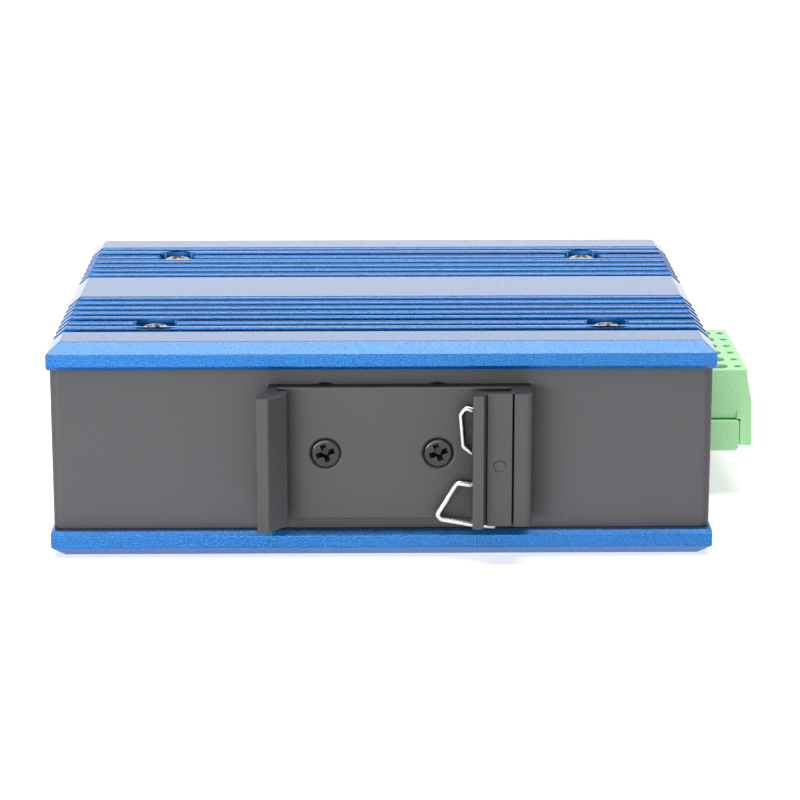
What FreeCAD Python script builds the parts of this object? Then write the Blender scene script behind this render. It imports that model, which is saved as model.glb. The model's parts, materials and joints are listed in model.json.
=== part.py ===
import FreeCAD, Part
import math
import os
import re
import Sketcher
from FreeCAD import Placement, Rotation, Vector

# A DIN-rail ethernet switch, lying on its lower side panel.
# X runs along the body (its top end, with the terminals, is +X), Y from the rail clip at the
# rear (-Y) to the ports at the front (+Y), and Z through the thickness. The origin is the centre
# of the lower panel's outer face, on which the switch rests.

# ---------------------------------------------------------------- driving sizes, millimetres
SIZES = (
    # whole body
    ("body_length", 114.0),
    ("body_depth", 88.0),
    ("body_thickness", 38.0),
    # finned side panels
    ("panel_thickness", 4.7),
    ("rim_slope_run", 2.2),
    ("rim_slope_rise", 1.85),
    ("rim_bevel", 0.75),
    ("centre_land", 17.0),
    ("groove_width", 2.5),
    ("fin_width", 1.4),
    ("groove_depth", 2.2),
    ("panel_screw_y", 28.2),
    ("pocket_radius", 3.5),
    ("head_sink", 0.4),
    # small screws
    ("shank_radius", 1.5),
    ("head_radius", 2.75),
    ("head_height", 2.0),
    ("head_dome_radius", 11.0),
    ("cone_height", 1.25),
    ("cone_clearance", 0.1),
    ("hole_clearance", 0.2),
    ("thread_clearance", 0.05),
    ("recess_width", 0.75),
    ("recess_span", 3.1),
    ("recess_depth", 1.1),
    ("lower_screw_length", 10.0),
    ("upper_screw_length", 8.0),
    ("clip_screw_length", 6.4),
    ("rear_screw_length", 4.0),
    ("front_screw_length", 3.5),
    # sheet housing
    ("sheet_thickness", 1.0),
    ("bend_radius", 0.6),
    ("end_inset", 0.3),
    ("rear_setback", 2.0),
    ("front_setback", 2.0),
    ("nest_gap", 0.1),
    ("flange_gap", 0.3),
    ("flange_screw_back", 4.6),
    ("tab_reach", 4.5),
    ("tab_width", 10.0),
    # stack between the panels
    ("spacer_height", 1.5),
    ("spacer_radius", 3.0),
    ("pillar_corner_radius", 3.175),
    ("pillar_jack_gap", 2.225),
    # main board
    ("board_thickness", 1.6),
    ("board_end_gap", 1.9),
    ("board_rear_gap", 1.5),
    ("board_front_gap", 0.5),
    ("lead_reach", 0.7),
    # rail clip, heights are measured forward from the plate's face
    ("clip_length", 23.3),
    ("clip_drop", 0.15),
    ("clip_plate_thickness", 2.5),
    ("hook_root_x", 19.3),
    ("hook_wall_x", 17.7),
    ("hook_nose_x", 16.0),
    ("hook_slot", 2.0),
    ("hook_nose_height", 4.0),
    ("hook_height", 7.7),
    ("hook_lean", 1.8),
    ("hook_lean_start", 0.8),
    ("hook_lean_end", 4.6),
    ("hook_tip_width", 2.0),
    ("lip_edge_x", 15.3),
    ("lip_width", 1.9),
    ("lip_height", 6.6),
    ("lip_slot", 2.6),
    ("slit_width", 0.6),
    ("slit_floor", 4.1),
    ("cap_width", 4.2),
    ("cap_height", 4.7),
    ("line_width", 0.3),
    ("line_floor", 3.9),
    ("rim_width", 3.1),
    ("rim_height", 5.0),
    ("rim_round", 1.0),
    ("spring_room", 0.3),
    ("clip_screw_x", 9.65),
    # clip spring
    ("wire_radius", 0.38),
    ("wire_lift", 1.5),
    ("wire_bend", 0.75),
    ("wire_end_in", 0.6),
    ("wire_crossing", 0.2),
    ("wire_slant", 0.4),
    ("wire_corner", 0.8),
    ("wire_crown", 1.2),
    ("short_loop_top", 9.4),
    ("short_loop_low", 2.7),
    ("short_loop_foot", 1.55),
    ("short_loop_out", 1.9),
    ("short_loop_lean", 0.45),
    ("long_loop_top", 3.85),
    ("long_loop_shoulder", 3.2),
    ("long_loop_out", 5.9),
    ("long_loop_low", 9.5),
    ("long_loop_bottom", 11.25),
    ("pin_radius", 0.9),
    ("pin_drop", 1.0),
    ("pin_sink", 1.5),
    ("pin_fit", 0.02),
    # plate with the threads behind the rear wall
    ("nut_plate_thickness", 2.5),
    ("nut_plate_margin", 4.3),
    ("rear_screw_rise", 9.05),
    # terminal block
    ("pole_pitch", 5.08),
    ("terminal_y", 6.65),
    ("header_reach", 9.4),
    ("header_inside", 8.2),
    ("header_height", 5.7),
    ("header_wall", 0.9),
    ("header_depth", 8.6),
    ("header_chamfer", 0.5),
    ("window_clearance", 0.3),
    ("tongue_clearance", 0.15),
    ("tongue_trim", 0.2),
    ("terminal_pin_width", 1.0),
    ("terminal_pin_short", 1.6),
    ("terminal_pin_root", 2.5),
    ("plug_wall_gap", 0.5),
    ("plug_height", 15.3),
    ("plug_top_reach", 1.4),
    ("plug_low_reach", 2.4),
    ("plug_front_bottom", 0.8),
    ("plug_clearance", 0.2),
    ("plug_shoulder", 5.9),
    ("plug_end_wall", 0.35),
    ("relief_height", 2.2),
    ("relief_depth", 0.7),
    ("relief_inset", 0.5),
    ("clamp_inset", 3.65),
    ("clamp_room_floor", 0.45),
    ("cage_length", 5.1),
    ("cage_width", 3.6),
    ("cage_clearance", 0.2),
    ("cage_seat", 0.05),
    ("cage_base", 0.6),
    ("cage_opening", 3.45),
    ("cage_opening_width", 2.5),
    ("cage_head", 1.3),
    ("cage_travel", 1.5),
    ("clamp_screw_radius", 1.25),
    ("clamp_head_radius", 1.55),
    ("clamp_head_height", 0.8),
    ("clamp_head_clearance", 0.1),
    ("clamp_seat", 0.3),
    ("clamp_slot_width", 0.6),
    ("clamp_slot_depth", 0.5),
    ("bar_width", 1.8),
    ("bar_thickness", 0.7),
    ("bar_gap", 0.1),
    ("strap_width", 0.4),
    ("strap_gap", 0.15),
    ("socket_wall", 0.5),
    ("socket_clearance", 0.05),
    ("entry_width", 3.4),
    ("test_hole_length", 1.15),
    ("test_hole_width", 1.6),
    ("test_hole_depth", 3.5),
    ("test_hole_out", 3.45),
    # ethernet jacks, one frame each: the middle of the mouth's lower edge
    ("jack_width", 16.0),
    ("jack_gap", 1.4),
    ("jack_depth", 21.0),
    ("jack_height", 13.4),
    ("jack_proud", 0.3),
    ("jack_clearance", 0.15),
    ("shield_thickness", 0.3),
    ("insert_gap", 0.05),
    ("mouth_width", 12.8),
    ("mouth_low", 1.0),
    ("mouth_high", 12.2),
    ("socket_width", 11.9),
    ("socket_low", 4.2),
    ("socket_high", 11.4),
    ("socket_depth", 13.5),
    ("latch_width", 6.4),
    ("latch_low", 2.7),
    ("catch_width", 3.8),
    ("catch_low", 1.4),
    ("contact_pitch", 1.02),
    ("contact_width", 0.36),
    ("contact_thickness", 0.3),
    ("contact_tip", 4.0),
    ("contact_tip_height", 11.2),
    ("contact_level", 8.5),
    ("contact_tail", 1.55),
    ("comb_gap", 0.08),
    ("shield_tab_width", 1.5),
    ("shield_tab_back", 11.0),
    # status lights
    ("light_inset", 4.0),
    ("light_pitch", 4.0),
    ("light_radius", 1.4),
    ("light_height", 12.0),
    ("light_proud", 0.3),
    ("light_back", 6.0),
    ("light_arm", 2.4),
    ("light_bridge_low", 5.2),
    ("light_bridge_high", 7.2),
    ("lamp_width", 1.6),
    ("lamp_height", 1.2),
    ("lamp_gap", 0.4),
    # parts on the board
    ("chip_width", 14.0),
    ("chip_thickness", 1.4),
    ("chip_x", -6.0),
    ("chip_y", -6.0),
    ("transformer_length", 12.6),
    ("transformer_width", 8.4),
    ("transformer_height", 5.8),
    ("transformer_gap", 2.2),
    ("leg_width", 0.5),
    ("leg_length", 1.0),
    ("leg_thickness", 0.3),
    ("relay_length", 20.0),
    ("relay_width", 10.0),
    ("relay_height", 11.5),
    ("relay_inset", 15.8),
    ("relay_gap", 1.0),
    ("capacitor_radius", 5.0),
    ("capacitor_height", 12.5),
    ("capacitor_neck", 0.6),
    ("capacitor_neck_width", 0.8),
    ("capacitor_foot", 2.0),
    ("capacitor_gap", 1.0),
    ("capacitor_y", -17.0),
    ("capacitor_pitch", 12.0),
    ("inductor_width", 12.0),
    ("inductor_height", 7.0),
    ("inductor_core_radius", 5.2),
    ("inductor_x", 15.0),
    ("inductor_y", -22.0),
    ("inductor_base", 1.2),
    ("controller_width", 6.0),
    ("controller_height", 1.5),
    ("controller_x", 17.0),
    ("controller_y", -8.0),
    ("crystal_length", 11.0),
    ("crystal_width", 4.6),
    ("crystal_height", 3.6),
    ("crystal_x", -22.0),
    ("crystal_y", -14.0),
    ("fuse_length", 8.0),
    ("fuse_radius", 1.7),
    ("fuse_cap", 1.6),
    ("fuse_cap_lip", 0.2),
    ("fuse_inset", 8.8),
    ("fuse_gap", 2.8),
)

GROOVES = 7
POLES = 6
JACKS = 4
CONTACTS = 8
LIGHTS = 3
SIDES = (-1, 1)
SPARE = 1.0          # how far a cutting tool runs past the face that it opens
CLIP_SCREW_TURN = 18     # degrees, how the cross recesses stand
REAR_SCREW_TURN = 40
FRONT_SCREW_TURN = 30

document = FreeCAD.newDocument("ethernet_switch")
sheet = document.addObject("Spreadsheet::Sheet", "Sizes")
for row, (name, number) in enumerate(SIZES, start=1):
    sheet.set(f"A{row}", name)
    sheet.set(f"B{row}", str(number))
    sheet.setAlias(f"B{row}", name)
document.recompute()
NAMES = {name for name, number in SIZES}
nodes = []


def size(name):
    """A driving size as a number."""
    return float(sheet.get(name))


def sized(text):
    """Turn an expression of size names into one that reads them from the sheet."""
    return re.sub(r"[a-z_]+", lambda word: "Sizes." + word[0] if word[0] in NAMES else word[0], text)


def bind(feature, **expressions):
    for name, text in expressions.items():
        feature.setExpression(name, sized(text))


def place(feature, x="0", y="0", z="0"):
    for axis, text in zip("xyz", (x, y, z)):
        feature.setExpression(f"Placement.Base.{axis}", sized(text))
    return feature


def node(feature, label):
    """Register a finished sub-part under the name of its file."""
    feature.Label = label
    nodes.append(feature)
    return feature


# ---------------------------------------------------------------- solids and booleans
def block(low, high):
    """A box between two corners."""
    box = document.addObject("Part::Box", "block")
    for name, start, end in zip(("Length", "Width", "Height"), low, high):
        box.setExpression(name, sized(f"({end}) - ({start})"))
    return place(box, *low)


def rod(foot, radius, height, along=Vector(0, 0, 1)):
    """A cylinder from its foot, along an axis."""
    cylinder = document.addObject("Part::Cylinder", "rod")
    cylinder.Placement = Placement(Vector(), Rotation(Vector(0, 0, 1), along))
    bind(cylinder, Radius=radius, Height=height)
    return place(cylinder, *foot)


def cone(foot, foot_radius, end_radius, height, along=Vector(0, 0, 1)):
    frustum = document.addObject("Part::Cone", "cone")
    frustum.Placement = Placement(Vector(), Rotation(Vector(0, 0, 1), along))
    bind(frustum, Radius1=foot_radius, Radius2=end_radius, Height=height)
    return place(frustum, *foot)


def fuse(*pieces):
    union = document.addObject("Part::MultiFuse", "fuse")
    union.Shapes = list(pieces)
    union.Refine = True
    return union


def group(pieces):
    """Separate solids in one node."""
    compound = document.addObject("Part::Compound", "group")
    compound.Links = list(pieces)
    return compound


def cut(base, *tools):
    difference = document.addObject("Part::Cut", "cut")
    difference.Base = base
    difference.Tool = tools[0] if len(tools) == 1 else group(tools)
    difference.Refine = True
    return difference


def common(first, second):
    overlap = document.addObject("Part::Common", "common")
    overlap.Base = first
    overlap.Tool = second
    return overlap


# ---------------------------------------------------------------- sketched bodies
def new_body(name):
    return document.addObject("PartDesign::Body", name)


def origin_part(body, role):
    return next(item for item in body.Origin.OriginFeatures if item.Role == role)


def new_sketch(body, role, offset):
    """A sketch parallel to one of the body's planes, moved along the plane's normal."""
    sketch = body.newObject("Sketcher::SketchObject", "sketch")
    sketch.AttachmentSupport = (origin_part(body, role), [""])
    sketch.MapMode = "FlatFace"
    sketch.setExpression("AttachmentOffset.Base.z", sized(offset))
    return sketch


def fix_point(sketch, geometry, position, spot, target):
    """Hold a point at a place written as two expressions."""
    for kind, start, text in zip(("DistanceX", "DistanceY"), spot, target):
        index = sketch.addConstraint(Sketcher.Constraint(kind, -1, 1, geometry, position, start))
        sketch.renameConstraint(index, f"{kind}_{geometry}")
        sketch.setExpression(f"Constraints.{kind}_{geometry}", sized(text))


def add_outline(sketch, corners):
    """A closed outline of straight sides through corners written as expressions."""
    first = sketch.GeometryCount
    count = len(corners)
    turns = [2 * math.pi * index / count for index in range(count)]
    spots = [Vector(math.cos(turn) + first, math.sin(turn), 0) for turn in turns]
    for index in range(count):
        sketch.addGeometry(Part.LineSegment(spots[index], spots[(index + 1) % count]), False)
    for index in range(count):
        following = first + (index + 1) % count
        sketch.addConstraint(Sketcher.Constraint("Coincident", first + index, 2, following, 1))
    for index, corner in enumerate(corners):
        fix_point(sketch, first + index, 1, spots[index][:2], corner)


def add_rectangle(sketch, low, high):
    add_outline(sketch, [low, (high[0], low[1]), high, (low[0], high[1])])


def add_circle(sketch, centre, radius):
    index = sketch.addGeometry(Part.Circle(Vector(), Vector(0, 0, 1), 1), False)
    fix_point(sketch, index, 3, (0, 0), centre)
    round_size = sketch.addConstraint(Sketcher.Constraint("Radius", index, 1))
    sketch.renameConstraint(round_size, f"Radius_{index}")
    sketch.setExpression(f"Constraints.Radius_{index}", sized(radius))


def sweep(kind, body, sketch, length):
    feature = body.newObject(f"PartDesign::{kind}", kind.lower())
    feature.Profile = sketch
    feature.setExpression("Length", sized(length))
    body.Tip = feature
    return feature


def pad(body, sketch, length):
    """Material along the sketch's normal."""
    return sweep("Pad", body, sketch, length)


def pocket(body, sketch, length):
    """A cut against the sketch's normal."""
    return sweep("Pocket", body, sketch, length)


def repeat(body, feature, role, step, count, backwards=False):
    pattern = body.newObject("PartDesign::LinearPattern", "row")
    pattern.Originals = [feature]
    pattern.Direction = (origin_part(body, role), [""])
    pattern.Occurrences = count
    pattern.Reversed = backwards
    pattern.setExpression("Length", sized(f"{count - 1} * ({step})"))
    body.Tip = pattern
    return pattern


def round_edges(body, direction, spots, radius):
    """Round the edges along an axis that pass through given places.

    Each spot is a place in the plane across the axis, as two numbers in the order X, Y, Z.
    """
    document.recompute()
    base = body.Tip
    across = [axis for axis in range(3) if axis != direction]
    names = []
    for number, edge in enumerate(base.Shape.Edges, start=1):
        middle = edge.CenterOfMass
        lies_along = edge.BoundBox.DiagonalLength - abs(edge.Vertexes[0].Point[direction]
                                                        - edge.Vertexes[-1].Point[direction])
        if lies_along > 0.01:
            continue
        if any(math.dist([middle[axis] for axis in across], spot) < 0.01 for spot in spots):
            names.append(f"Edge{number}")
    feature = body.newObject("PartDesign::Fillet", "round")
    feature.Base = (base, names)
    feature.setExpression("Radius", sized(radius))
    body.Tip = feature


# ---------------------------------------------------------------- levels and faces
HALF_LENGTH = "body_length / 2"
HALF_DEPTH = "body_depth / 2"
PANEL_INSIDE = "panel_thickness"
UPPER_PANEL_INSIDE = "(body_thickness - panel_thickness)"
SCREW_SEAT = "(head_sink + head_height)"
SHELL_END = f"({HALF_LENGTH} - end_inset)"
SHELL_END_INSIDE = f"({SHELL_END} - sheet_thickness)"
SHELL_REAR = f"(rear_setback - {HALF_DEPTH})"
SHELL_REAR_INSIDE = f"({SHELL_REAR} + sheet_thickness)"
SHELL_FRONT = f"({HALF_DEPTH} - front_setback)"
SHELL_FRONT_INSIDE = f"({SHELL_FRONT} - sheet_thickness)"
BOARD_LOW = f"({PANEL_INSIDE} + sheet_thickness + spacer_height)"
BOARD_TOP = f"({BOARD_LOW} + board_thickness)"
SHANK_HOLE = "shank_radius + hole_clearance"
THREAD_HOLE = "shank_radius + thread_clearance"
CLIP_FACE = f"({SHELL_REAR} - clip_plate_thickness)"
CLIP_MIDDLE = "(body_thickness / 2 - clip_drop)"
REAR_SCREW_LEVEL = f"({CLIP_MIDDLE} + rear_screw_rise)"
FRONT_SCREW_Y = f"({SHELL_FRONT} - flange_screw_back)"
JACK_PITCH = "(jack_width + jack_gap)"
# The pillars, and so the panel screws, stand just outside the row of jacks.
SCREW_X = (f"({JACKS / 2} * {JACK_PITCH} - jack_gap / 2 + pillar_jack_gap"
           " + pillar_corner_radius)")
SCREW_CORNERS = [(f"{x} * {SCREW_X}", f"{y} * panel_screw_y") for x in SIDES for y in SIDES]


# ---------------------------------------------------------------- screws
def recessed(screw, top):
    """Sink a cross recess into a screw's head, whose top is at a given height."""
    arms = []
    for half_x, half_y in (("recess_span", "recess_width"), ("recess_width", "recess_span")):
        low = (f"-{half_x} / 2", f"-{half_y} / 2", f"{top} - recess_depth")
        high = (f"{half_x} / 2", f"{half_y} / 2", f"{top} + {SPARE}")
        arms.append(block(low, high))
    return cut(screw, *arms)


def pan_screw(length, spot, out):
    """A domed screw whose seat is at a spot and whose head looks out along a direction."""
    head = rod(("0", "0", "0"), "head_radius", "head_height")
    dome = document.addObject("Part::Sphere", "dome")
    bind(dome, Radius="head_dome_radius")
    place(dome, z="head_height - head_dome_radius")
    shank = rod(("0", "0", f"-{length}"), "shank_radius", length)
    screw = recessed(fuse(common(head, dome), shank), "head_height")
    screw.Placement = Placement(Vector(), Rotation(Vector(0, 0, 1), out))
    return place(screw, *spot)


def flush_screw(length, spot, out, turn):
    """A countersunk screw, flush at a spot, with its recess turned by some degrees."""
    head = cone(("0", "0", "-cone_height"), "shank_radius", "head_radius", "cone_height")
    shank = rod(("0", "0", f"-{length}"), "shank_radius", f"{length} - cone_height / 2")
    screw = recessed(fuse(head, shank), "0")
    facing = Rotation(Vector(0, 0, 1), out)
    screw.Placement = Placement(Vector(), facing.multiply(Rotation(Vector(0, 0, 1), turn)))
    return place(screw, *spot)


def countersink(spot, inward):
    """The tool for a countersunk head's seat, from its mouth inwards."""
    return cone(spot, "head_radius + cone_clearance", "shank_radius + cone_clearance",
                "cone_height", inward)


# ---------------------------------------------------------------- finned side panels
def side_panel(label):
    """An extruded panel with its outer, finned face at Z = 0 and its inner face above."""
    body = new_body("panel")
    rim = f"({HALF_DEPTH} - rim_slope_run)"
    inner = f"({HALF_DEPTH} - rim_bevel)"
    bevel_low = "panel_thickness - rim_bevel"
    section = new_sketch(body, "YZ_Plane", f"-{HALF_LENGTH}")
    add_outline(section, [
        (f"-{rim}", "0"), (rim, "0"), (HALF_DEPTH, "rim_slope_rise"), (HALF_DEPTH, bevel_low),
        (inner, "panel_thickness"), (f"-{inner}", "panel_thickness"),
        (f"-{HALF_DEPTH}", bevel_low), (f"-{HALF_DEPTH}", "rim_slope_rise")])
    pad(body, section, "body_length")
    # The sawn ends are sloped like the long edges.
    ends = new_sketch(body, "XZ_Plane", f"{HALF_DEPTH} + {SPARE}")
    for side in SIDES:
        start = f"{side} * ({HALF_LENGTH} - 2 * rim_slope_run)"
        beyond = f"{side} * ({HALF_LENGTH} + rim_slope_run)"
        add_outline(ends, [(start, "-rim_slope_rise"), (beyond, "2 * rim_slope_rise"),
                           (beyond, "-rim_slope_rise")])
    pocket(body, ends, f"body_depth + {2 * SPARE}")
    for side in SIDES:
        groove = new_sketch(body, "YZ_Plane", f"{HALF_LENGTH} + {SPARE}")
        near = f"{side} * centre_land / 2"
        far = f"{side} * (centre_land / 2 + groove_width)"
        add_rectangle(groove, (near, f"-{SPARE}"), (far, "groove_depth"))
        first = pocket(body, groove, f"body_length + {2 * SPARE}")
        repeat(body, first, "Y_Axis", "groove_width + fin_width", GROOVES, backwards=side < 0)
    heads = new_sketch(body, "XY_Plane", SCREW_SEAT)
    holes = new_sketch(body, "XY_Plane", f"panel_thickness + {SPARE}")
    for corner in SCREW_CORNERS:
        add_circle(heads, corner, "pocket_radius")
        add_circle(holes, corner, SHANK_HOLE)
    pocket(body, heads, f"{SCREW_SEAT} + {SPARE}")
    pocket(body, holes, f"panel_thickness + {2 * SPARE}")
    return node(body, label)


side_panel("lower_side_panel")
upper_panel = side_panel("upper_side_panel")
upper_panel.Placement = Placement(Vector(), Rotation(Vector(1, 0, 0), 180))
place(upper_panel, z="body_thickness")

DOWN = Vector(0, 0, -1)
UP = Vector(0, 0, 1)
node(group([pan_screw("lower_screw_length", (x, y, SCREW_SEAT), DOWN) for x, y in SCREW_CORNERS]),
     "lower_panel_screws")
node(group([pan_screw("upper_screw_length", (x, y, f"body_thickness - {SCREW_SEAT}"), UP)
            for x, y in SCREW_CORNERS]), "upper_panel_screws")

# ---------------------------------------------------------------- sheet housing
REAR = Vector(0, -1, 0)
INWARD = Vector(0, 1, 0)
HEADER_HALF = ("(poles * pole_pitch / 2 - tongue_trim + tongue_clearance + header_wall)"
               .replace("poles", str(POLES)))
HEADER_LOW = BOARD_TOP
HEADER_HIGH = f"({BOARD_TOP} + header_height)"
REAR_SCREW_SPOTS = [(f"{side} * clip_screw_x", REAR_SCREW_LEVEL) for side in SIDES]
CLIP_SCREW_SPOTS = [(f"{side} * clip_screw_x", CLIP_MIDDLE) for side in SIDES]


def corner(x_name, y_name):
    return [(side * x_name, y_name) for side in SIDES]


shell_x = size("body_length") / 2 - size("end_inset")
shell_y = size("rear_setback") - size("body_depth") / 2
sheet_t = size("sheet_thickness")

shell = new_body("shell")
wrap = new_sketch(shell, "XY_Plane", PANEL_INSIDE)
add_outline(wrap, [
    (f"-{SHELL_END}", SHELL_FRONT), (f"-{SHELL_END}", SHELL_REAR), (SHELL_END, SHELL_REAR),
    (SHELL_END, SHELL_FRONT), (SHELL_END_INSIDE, SHELL_FRONT),
    (SHELL_END_INSIDE, SHELL_REAR_INSIDE), (f"-{SHELL_END_INSIDE}", SHELL_REAR_INSIDE),
    (f"-{SHELL_END_INSIDE}", SHELL_FRONT)])
pad(shell, wrap, "body_thickness - 2 * panel_thickness")
round_edges(shell, 2, corner(shell_x, shell_y), "bend_radius + sheet_thickness")
round_edges(shell, 2, corner(shell_x - sheet_t, shell_y + sheet_t), "bend_radius")
# Tabs turned in from the ends lie under the panels, one for each panel screw.
for level in (PANEL_INSIDE, f"{UPPER_PANEL_INSIDE} - sheet_thickness"):
    tabs = new_sketch(shell, "XY_Plane", level)
    for side in SIDES:
        for y_side in SIDES:
            low = (f"{side} * ({SCREW_X} - tab_reach)",
                   f"{y_side} * (panel_screw_y - tab_width / 2)")
            high = (f"{side} * ({SHELL_END} - sheet_thickness / 2)",
                    f"{y_side} * (panel_screw_y + tab_width / 2)")
            add_rectangle(tabs, low, high)
    pad(shell, tabs, "sheet_thickness")
tab_holes = new_sketch(shell, "XY_Plane", "body_thickness")
for spot in SCREW_CORNERS:
    add_circle(tab_holes, spot, SHANK_HOLE)
pocket(shell, tab_holes, "body_thickness")
window = new_sketch(shell, "YZ_Plane", f"{SHELL_END} + {SPARE}")
add_rectangle(window,
              (f"terminal_y - {HEADER_HALF} - window_clearance",
               f"{HEADER_LOW} - window_clearance"),
              (f"terminal_y + {HEADER_HALF} + window_clearance",
               f"{HEADER_HIGH} + window_clearance"))
pocket(shell, window, f"sheet_thickness + {2 * SPARE}")
rear_holes = new_sketch(shell, "XZ_Plane", f"{SPARE} - {SHELL_REAR}")
for spot in CLIP_SCREW_SPOTS + REAR_SCREW_SPOTS:
    add_circle(rear_holes, spot, SHANK_HOLE)
pocket(shell, rear_holes, f"sheet_thickness + {2 * SPARE}")
flange_holes = new_sketch(shell, "YZ_Plane", f"{SHELL_END} + {SPARE}")
add_circle(flange_holes, (FRONT_SCREW_Y, "body_thickness / 2"), SHANK_HOLE)
pocket(shell, flange_holes, f"2 * {SHELL_END} + {2 * SPARE}")
seats = [countersink((x, SHELL_REAR, z), INWARD) for x, z in REAR_SCREW_SPOTS]
seats += [countersink((f"{side} * {SHELL_END}", FRONT_SCREW_Y, "body_thickness / 2"),
                      Vector(-side, 0, 0)) for side in SIDES]
node(cut(shell, *seats), "housing_shell")

# The front panel nests between the shell's ends. Its flanges reach back to the tabs, and are
# screwed to the ends.
FRONT_END = f"({SHELL_END_INSIDE} - nest_gap)"
FLANGE_REAR = "(panel_screw_y + tab_width / 2 + flange_gap)"
JACK_SPOTS = [f"({index - (JACKS - 1) / 2} * {JACK_PITCH})" for index in range(JACKS)]
LIGHT_SPOTS = [f"({FRONT_END} - light_inset - {LIGHTS - 1 - index} * light_pitch)"
               for index in range(LIGHTS)]
LIGHT_LEVEL = f"({BOARD_TOP} + light_height)"

front = new_body("front")
plate = new_sketch(front, "XY_Plane", PANEL_INSIDE)
add_outline(plate, [
    (f"-{FRONT_END}", SHELL_FRONT), (f"-{FRONT_END}", FLANGE_REAR),
    (f"sheet_thickness - {FRONT_END}", FLANGE_REAR),
    (f"sheet_thickness - {FRONT_END}", SHELL_FRONT_INSIDE),
    (f"{FRONT_END} - sheet_thickness", SHELL_FRONT_INSIDE),
    (f"{FRONT_END} - sheet_thickness", FLANGE_REAR),
    (FRONT_END, FLANGE_REAR), (FRONT_END, SHELL_FRONT)])
pad(front, plate, "body_thickness - 2 * panel_thickness")
front_x = shell_x - sheet_t - size("nest_gap")
front_y = size("body_depth") / 2 - size("front_setback")
round_edges(front, 2, corner(front_x, front_y), "bend_radius + sheet_thickness")
round_edges(front, 2, corner(front_x - sheet_t, front_y - sheet_t), "bend_radius")
openings = new_sketch(front, "XZ_Plane", f"{SPARE} - {SHELL_FRONT_INSIDE}")
for spot in JACK_SPOTS:
    add_rectangle(openings,
                  (f"{spot} - jack_width / 2 - jack_clearance", f"{BOARD_TOP} - jack_clearance"),
                  (f"{spot} + jack_width / 2 + jack_clearance",
                   f"{BOARD_TOP} + jack_height + jack_clearance"))
for spot in LIGHT_SPOTS:
    add_circle(openings, (spot, LIGHT_LEVEL), "light_radius + thread_clearance")
pocket(front, openings, f"sheet_thickness + {2 * SPARE}")
threads = new_sketch(front, "YZ_Plane", f"{SHELL_END} + {SPARE}")
add_circle(threads, (FRONT_SCREW_Y, "body_thickness / 2"), THREAD_HOLE)
pocket(front, threads, f"2 * {SHELL_END} + {2 * SPARE}")
flange_seats = [countersink((f"{side} * {SHELL_END}", FRONT_SCREW_Y, "body_thickness / 2"),
                            Vector(-side, 0, 0)) for side in SIDES]
node(cut(front, *flange_seats), "front_panel")
node(group([flush_screw("front_screw_length",
                        (f"{side} * {SHELL_END}", FRONT_SCREW_Y, "body_thickness / 2"),
                        Vector(side, 0, 0), FRONT_SCREW_TURN) for side in SIDES]), "front_panel_screws")

# ---------------------------------------------------------------- spacers and pillars
spacers = []
pillars = []
for x, y in SCREW_CORNERS:
    ring = rod((x, y, f"{PANEL_INSIDE} + sheet_thickness"), "spacer_radius", "spacer_height")
    bore = rod((x, y, PANEL_INSIDE), SHANK_HOLE, BOARD_TOP)
    spacers.append(cut(ring, bore))
    hexagon = document.addObject("Part::Prism", "hexagon")
    hexagon.Polygon = 6
    pillar_height = f"{UPPER_PANEL_INSIDE} - sheet_thickness - {BOARD_TOP}"
    bind(hexagon, Circumradius="pillar_corner_radius", Height=pillar_height)
    place(hexagon, x, y, BOARD_TOP)
    pillars.append(cut(hexagon, rod((x, y, "0"), THREAD_HOLE, "body_thickness")))
node(group(spacers), "board_spacers")
node(group(pillars), "panel_pillars")

# ---------------------------------------------------------------- rail clip
def forward(height):
    """A Y place at a height in front of the clip plate's face."""
    return f"{CLIP_FACE} - ({height})"


LIP_END = "(lip_edge_x + lip_width)"
SLIT_END = f"({LIP_END} + slit_width)"
CAP_END = f"({SLIT_END} + cap_width)"
LINE_END = f"({CAP_END} + line_width)"
CLIP_END = f"({LINE_END} + rim_width)"
WIRE_TURN = "(pin_radius + pin_fit + wire_radius)"
PIN_X = f"({SLIT_END} + cap_width / 2)"
POCKET_END = f"({PIN_X} + {WIRE_TURN} + wire_radius + spring_room)"
PIN_LEVEL = f"({CLIP_MIDDLE} - pin_drop)"

clip = new_body("clip")
profile = new_sketch(clip, "XY_Plane", f"{CLIP_MIDDLE} - clip_length / 2")
add_outline(profile, [
    # the fixed hook: outer side, tip, sloping lead-in, nose and the slot under it
    ("-hook_root_x", SHELL_REAR),
    ("-hook_root_x", forward("hook_lean_start")),
    ("-hook_root_x - hook_lean", forward("hook_lean_end")),
    ("-hook_root_x - hook_lean", forward("hook_height")),
    ("hook_tip_width - hook_root_x - hook_lean", forward("hook_height")),
    ("-hook_nose_x", forward("hook_nose_height")),
    ("-hook_nose_x", forward("hook_slot")),
    ("-hook_wall_x", forward("hook_slot")),
    ("-hook_wall_x", CLIP_FACE),
    # the pocket for the spring, and the lip over it
    (POCKET_END, CLIP_FACE),
    (POCKET_END, forward("lip_slot")),
    ("lip_edge_x", forward("lip_slot")),
    ("lip_edge_x", forward("lip_height")),
    (LIP_END, forward("lip_height")),
    (LIP_END, forward("slit_floor")),
    (SLIT_END, forward("slit_floor")),
    (SLIT_END, forward("cap_height")),
    (CAP_END, forward("cap_height")),
    (CAP_END, forward("line_floor")),
    (LINE_END, forward("line_floor")),
    (LINE_END, forward("rim_height")),
    (CLIP_END, forward("rim_height")),
    (CLIP_END, SHELL_REAR)])
pad(clip, profile, "clip_length")
clip_end = sum(size(name) for name in
               ("lip_edge_x", "lip_width", "slit_width", "cap_width", "line_width", "rim_width"))
clip_face = shell_y - size("clip_plate_thickness")
round_edges(clip, 2, [(clip_end, clip_face - size("rim_height"))], "rim_round")
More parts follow.
